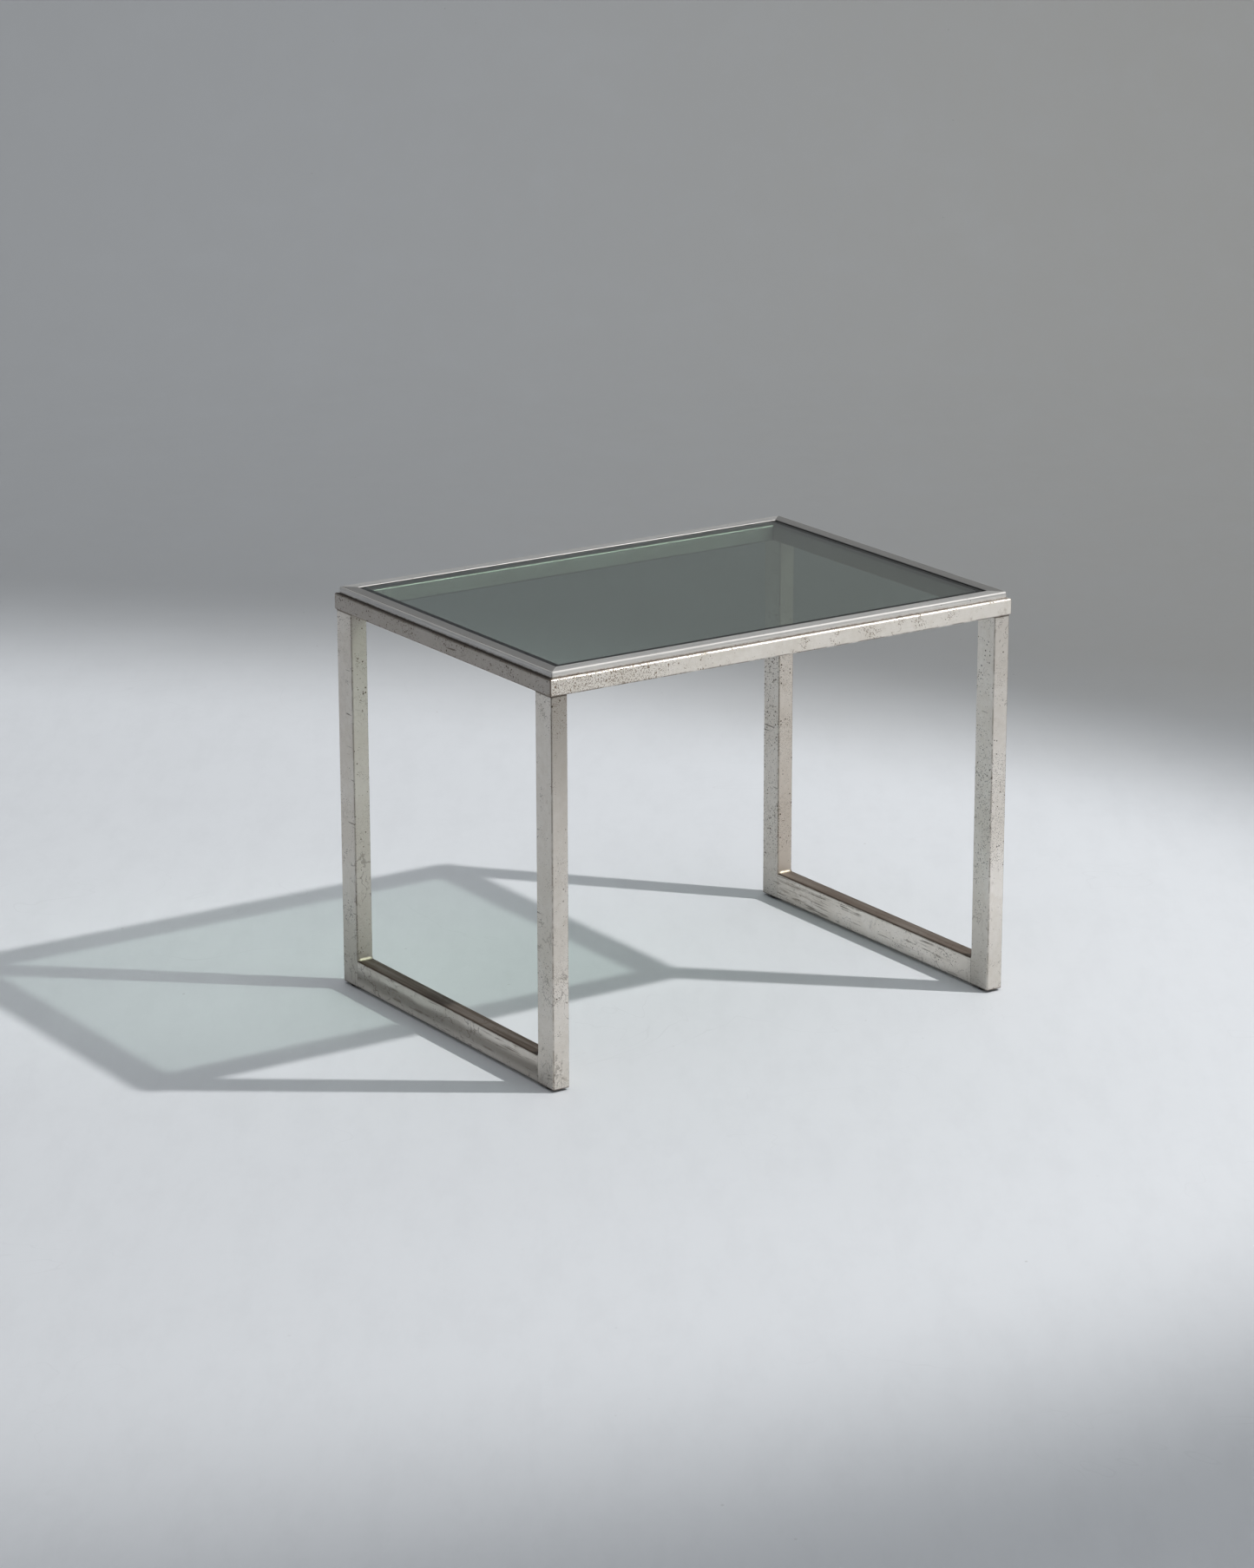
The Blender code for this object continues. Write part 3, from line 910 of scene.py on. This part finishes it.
def stretcher_plates():
    return {
        "left": plated("plate_stretcher_left", NICKEL, 1, stain=1.1, cracks=0.55, covered_metal=0.0,
                       local=stretcher_grime_and_shade(0.025, 0.62, 0.99, (0.070, 0.051, 0.039))),
        "right": plated("plate_stretcher_right", (0.86, 0.82, 0.77), 1, stain=1.2, cracks=0.28, lines=1.25,
                        local=stretcher_grime_and_shade(0.010, 0.18, 0.94, (0.125, 0.090, 0.068), 0.95)),
    }


def rail_plates():
    rear_shade = rail_shade_and_foot_line(1, OUT_Y, bright_arris=True, foot_line=(0.035, 0.030, 0.026), inner_shade=0.40)
    return {
        "front": plated("plate_rail_front", (0.87, 0.83, 0.77), 0, pits=1.75, rough=0.42, polished=True,
                        dense=thick_on_the_left, only_dense=True, pit_colour=(0.21, 0.150, 0.100),
                        local=rail_shade_and_foot_line(1, OUT_Y)),
        "rear": plated("plate_rail_rear", (0.93, 0.91, 0.88), 0, rough=0.44, polished=True,
                       local=rear_shade),
        "left": plated("plate_rail_left", (0.48, 0.447, 0.415), 1, pits=1.15, rough=0.45,
                       dense=evenly_thick, local=rail_shade_and_foot_line(0, OUT_X, ledge=0.9)),
        "right": plated("plate_rail_right", NICKEL, 1, local=rail_shade_and_foot_line(0, OUT_X, inner_shade=0.62)),
    }


def make_leg_frames():
    """The legs with their welds, feet and end plates, and the stretchers between them."""
    legs, bars = leg_plates(), stretcher_plates()
    weld_plate = plated("plate_welds", (0.60, 0.55, 0.45), 0, stain=1.2, rough=0.38)
    pad, steel = rubber("foot_rubber"), mill_steel("mill_steel")
    for y_name, sy in SIDES_Y:
        for x_name, sx in SIDES_X:
            corner = y_name + "_" + x_name
            make_leg(corner, sy, legs[corner])
            make_weld(corner, sx, sy, weld_plate)
            make_foot(corner, pad)
            end_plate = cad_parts["end_plate_" + corner]
            end_plate.data.materials.clear()
            end_plate.data.materials.append(steel)
    for side, bar_plate in bars.items():
        make_stretcher(side, bar_plate)


def make_top():
    """The ring of rails, the ring of trim bars on it, and the pane in its rebate."""
    rails = rail_plates()
    trims = {
        True: brushed_bar("brushed_trim_x", TRIM_TINT, 0, TRIM_OUT_Y),
        # the side bars: a lighter copy of the trim, painted light, with a top of painted shade
        False: brushed_bar("brushed_trim_y", shade(TRIM_TINT, 1.08), 1, TRIM_OUT_X, (0.315, 0.310, 0.300)),
    }
    for along_x, sides in ((True, SIDES_Y), (False, SIDES_X)):
        for name, side in sides:
            make_ring_bar(RAILS, name, side, along_x, rails[name])
            make_ring_bar(TRIMS, name, side, along_x, trims[along_x])
    glass = float_glass("float_glass", (0.284, 0.351, 0.310), (0.62, 0.675, 0.645))
    # near-black glass for the band of painted shade along the pane's edges
    shade_band = float_glass("float_glass_shade_band", (0.026, 0.034, 0.032), (0.40, 0.44, 0.42), 1.20)
    make_glass(glass, glass_rim("glass_rim"), shade_band)


make_leg_frames()
make_top()

# ------------------------------------------------------------------ studio
PAPER = (0.74, 0.765, 0.80)
# greys of the painted shade behind the table and on the wall
WALL_LEFT, WALL_RIGHT = (0.505, 0.515, 0.527), (0.516, 0.513, 0.500)
KEY_PLACE, KEY_TARGET = (2.13, -1.90, 3.49), (-0.394, 0.265, 0.0)
KEY_STRENGTH = 116
WORLD_COLOUR, WORLD_STRENGTH = (0.95, 0.97, 1.0), 0.235


def studio_paper():
    """Pale paper with faint marks, creases and specks: lighter towards the camera, painted light, and grey
    from about a metre behind the table on, painted shade where the light falls off.
    """
    n = Nodes("studio_paper")
    depth = n.vector_math("DOT_PRODUCT", n.here, (0.307, 0.948, 0.0))
    drifting = n.plus(depth, n.times(n.minus(n.noise(1.3, 4.0, 0.6), 0.5), 0.3))
    # painted shade: grey behind the table and on the wall, a little bluer at the left
    wall = n.mix(n.ramp(n.parts(n.here)[0], -0.9, 1.1), WALL_LEFT, WALL_RIGHT)
    # painted light: the paper is lighter towards the camera
    floor = n.mix(n.ramp(depth, -2.0, -1.25, 1.0, 0.0), PAPER, shade(PAPER, 1.17))
    colour = n.mix(n.ramp(drifting, 0.75, 1.5), floor, wall)
    marks = n.noise(6, 6.0, 0.65)
    colour = n.mix(n.ramp(marks, 0.45, 0.75, 0.0, 0.10), colour, shade(PAPER, 0.82))
    crease = n.line(n.noise(3.4, 3.0, 0.55, 1.2), 0.5, 0.0008, 0.0040)
    crease = n.times(crease, n.ramp(n.noise(2.1, 2.0, 0.5), 0.50, 0.62, 0.0, 0.16))
    faint = n.ramp(n.noise(1.0, 5.0, 0.7, vector=n.stretch((26, 7, 10))), 0.40, 0.70, 0.0, 0.10)
    colour = n.mix(n.most(crease, faint), colour, shade(PAPER, 0.72))
    cell = n.cells(34)
    speck = n.ramp(cell["Distance"], 0.03, 0.07, 1.0, 0.0)
    speck = n.times(speck, n.ramp(n.channels(cell["Color"])[0], 0.93, 0.99), 0.30)
    colour = n.mix(speck, colour, (0.20, 0.20, 0.20))
    shader = n.principled(colour, n.ramp(marks, 0.3, 0.7, 0.55, 0.72))
    shader.inputs["Specular IOR Level"].default_value = 0.3
    return n.material


def make_backdrop():
    """A sweep of paper: pale floor, curving up into a grey wall behind the table."""
    wall, bend, tall, near, half = 4.6, 1.6, 5.0, -12.0, 14.0
    floor_steps, bend_steps, wall_steps = 24, 16, 6
    profile = [(near + (wall - bend - near) * k / floor_steps, 0.0) for k in range(floor_steps + 1)]
    for k in range(1, bend_steps + 1):
        turn = QUARTER * k / bend_steps
        profile.append((wall - bend + bend * math.sin(turn), bend - bend * math.cos(turn)))
    profile += [(wall, bend + (tall - bend) * k / wall_steps) for k in range(1, wall_steps + 1)]
    bm = bmesh.new()
    rows = [[bm.verts.new((half * k / 2, y, z)) for k in range(-2, 3)] for y, z in profile]
    for a, b in zip(rows, rows[1:]):
        for i in range(len(a) - 1):
            bm.faces.new((a[i], a[i + 1], b[i + 1], b[i]))
    backdrop = finish_mesh("backdrop", bm, [studio_paper()], None)
    backdrop.rotation_euler = (0, 0, CAM_AZIMUTH)


def add_light(name, kind, energy, colour, place, target):
    data = bpy.data.lights.new(name, kind)
    data.energy, data.color = energy, colour
    lamp = add_to_scene(name, data)
    lamp.location = place
    lamp.rotation_mode = "QUATERNION"
    lamp.rotation_quaternion = (Vector(target) - Vector(place)).to_track_quat("-Z", "Y")
    return lamp


def add_panel(name, size, energy, colour, place, target, mirrored=False):
    """A soft rectangular light, which shows in glossy surfaces only where mirrored is set."""
    panel = add_light(name, "AREA", energy, colour, place, target)
    panel.data.shape = "RECTANGLE"
    panel.data.size, panel.data.size_y = size
    panel.visible_glossy = mirrored


def make_key():
    """The spot that casts the table's shadow. It fades only linearly with distance."""
    key = add_light("key", "SPOT", 1.0, (1.0, 0.985, 0.965), KEY_PLACE, KEY_TARGET).data
    key.spot_size = math.radians(38.5)
    key.spot_blend = 0.6
    key.shadow_soft_size = 0.055
    key.use_nodes = True
    tree = key.node_tree
    fall = tree.nodes.new("ShaderNodeLightFalloff")
    fall.inputs["Strength"].default_value = KEY_STRENGTH
    tree.links.new(fall.outputs["Linear"], tree.nodes["Emission"].inputs["Strength"])


def make_world():
    world = bpy.data.worlds.new("studio")
    world.use_nodes = True
    background = world.node_tree.nodes["Background"]
    background.inputs[0].default_value = (*WORLD_COLOUR, 1)
    background.inputs[1].default_value = WORLD_STRENGTH
    bpy.context.scene.world = world


make_backdrop()
make_key()
add_panel("fill", (3.0, 3.0), 30, (0.95, 0.98, 1.0), (-0.5, -1.0, 4.2), (0, 0, 0))
add_panel("bounce_card", (1.9, 1.2), 9.5, (1.0, 0.985, 0.96), (1.75, -2.7, 0.68), (0, 0, 0.25), mirrored=True)
add_panel("wall_wash", (7.0, 1.0), 76, (0.97, 0.99, 1.0), (1.7, 2.6, 4.4), (2.5, 3.8, 1.6))
make_world()
bpy.context.scene.view_settings.view_transform = "Standard"
